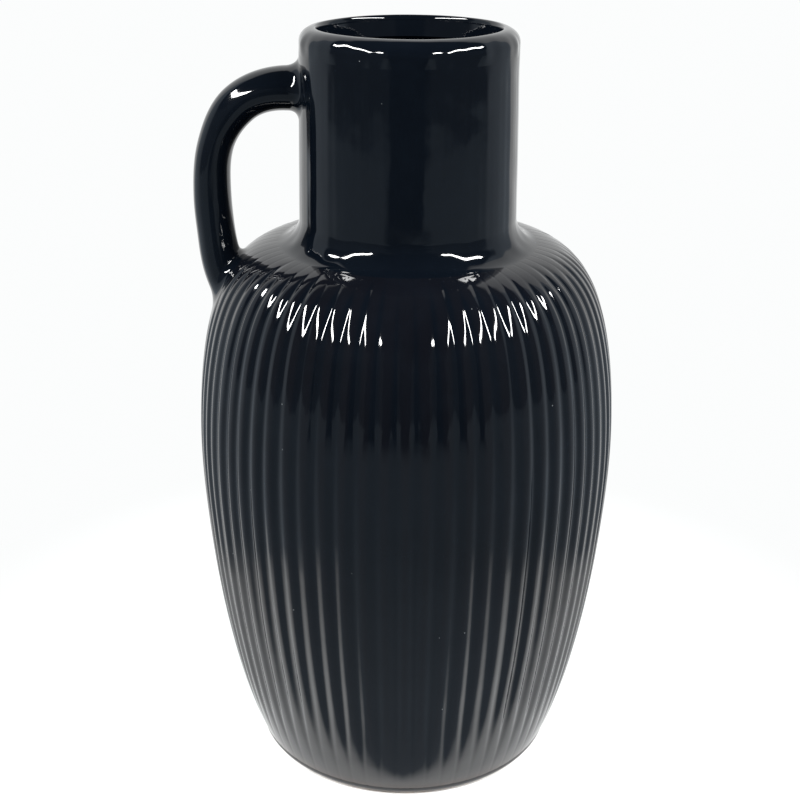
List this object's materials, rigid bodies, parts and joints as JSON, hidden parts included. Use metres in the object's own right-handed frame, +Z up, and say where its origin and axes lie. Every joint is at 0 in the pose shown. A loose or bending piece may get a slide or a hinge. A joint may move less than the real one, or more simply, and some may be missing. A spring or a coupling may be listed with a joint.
{
  "type": "ribbed jug vase",
  "caption": "Round ribbed jug vase with a flat shoulder, a short wide neck, a rounded rim and a small side handle; it holds water or stems and stands on a foot ring.",
  "frame": {"origin": "on the jug's axis, in the plane that the foot ring stands on", "axes": "+Z up along the jug's axis, the handle points to -X"},
  "size_m": [0.1572, 0.1572, 0.28],
  "materials": {
    "black_glaze": "gloss",
    "bare_clay": "matte"
  },
  "bodies": {
    "root": {"foot_ring": "bare_clay", "base_disc": "black_glaze", "belly_wall": "black_glaze", "neck_collar": "black_glaze", "lip_ring": "black_glaze", "handle": "black_glaze", "handle_upper_slip": "black_glaze", "handle_lower_slip": "black_glaze"}
  },
  "joints": []
}
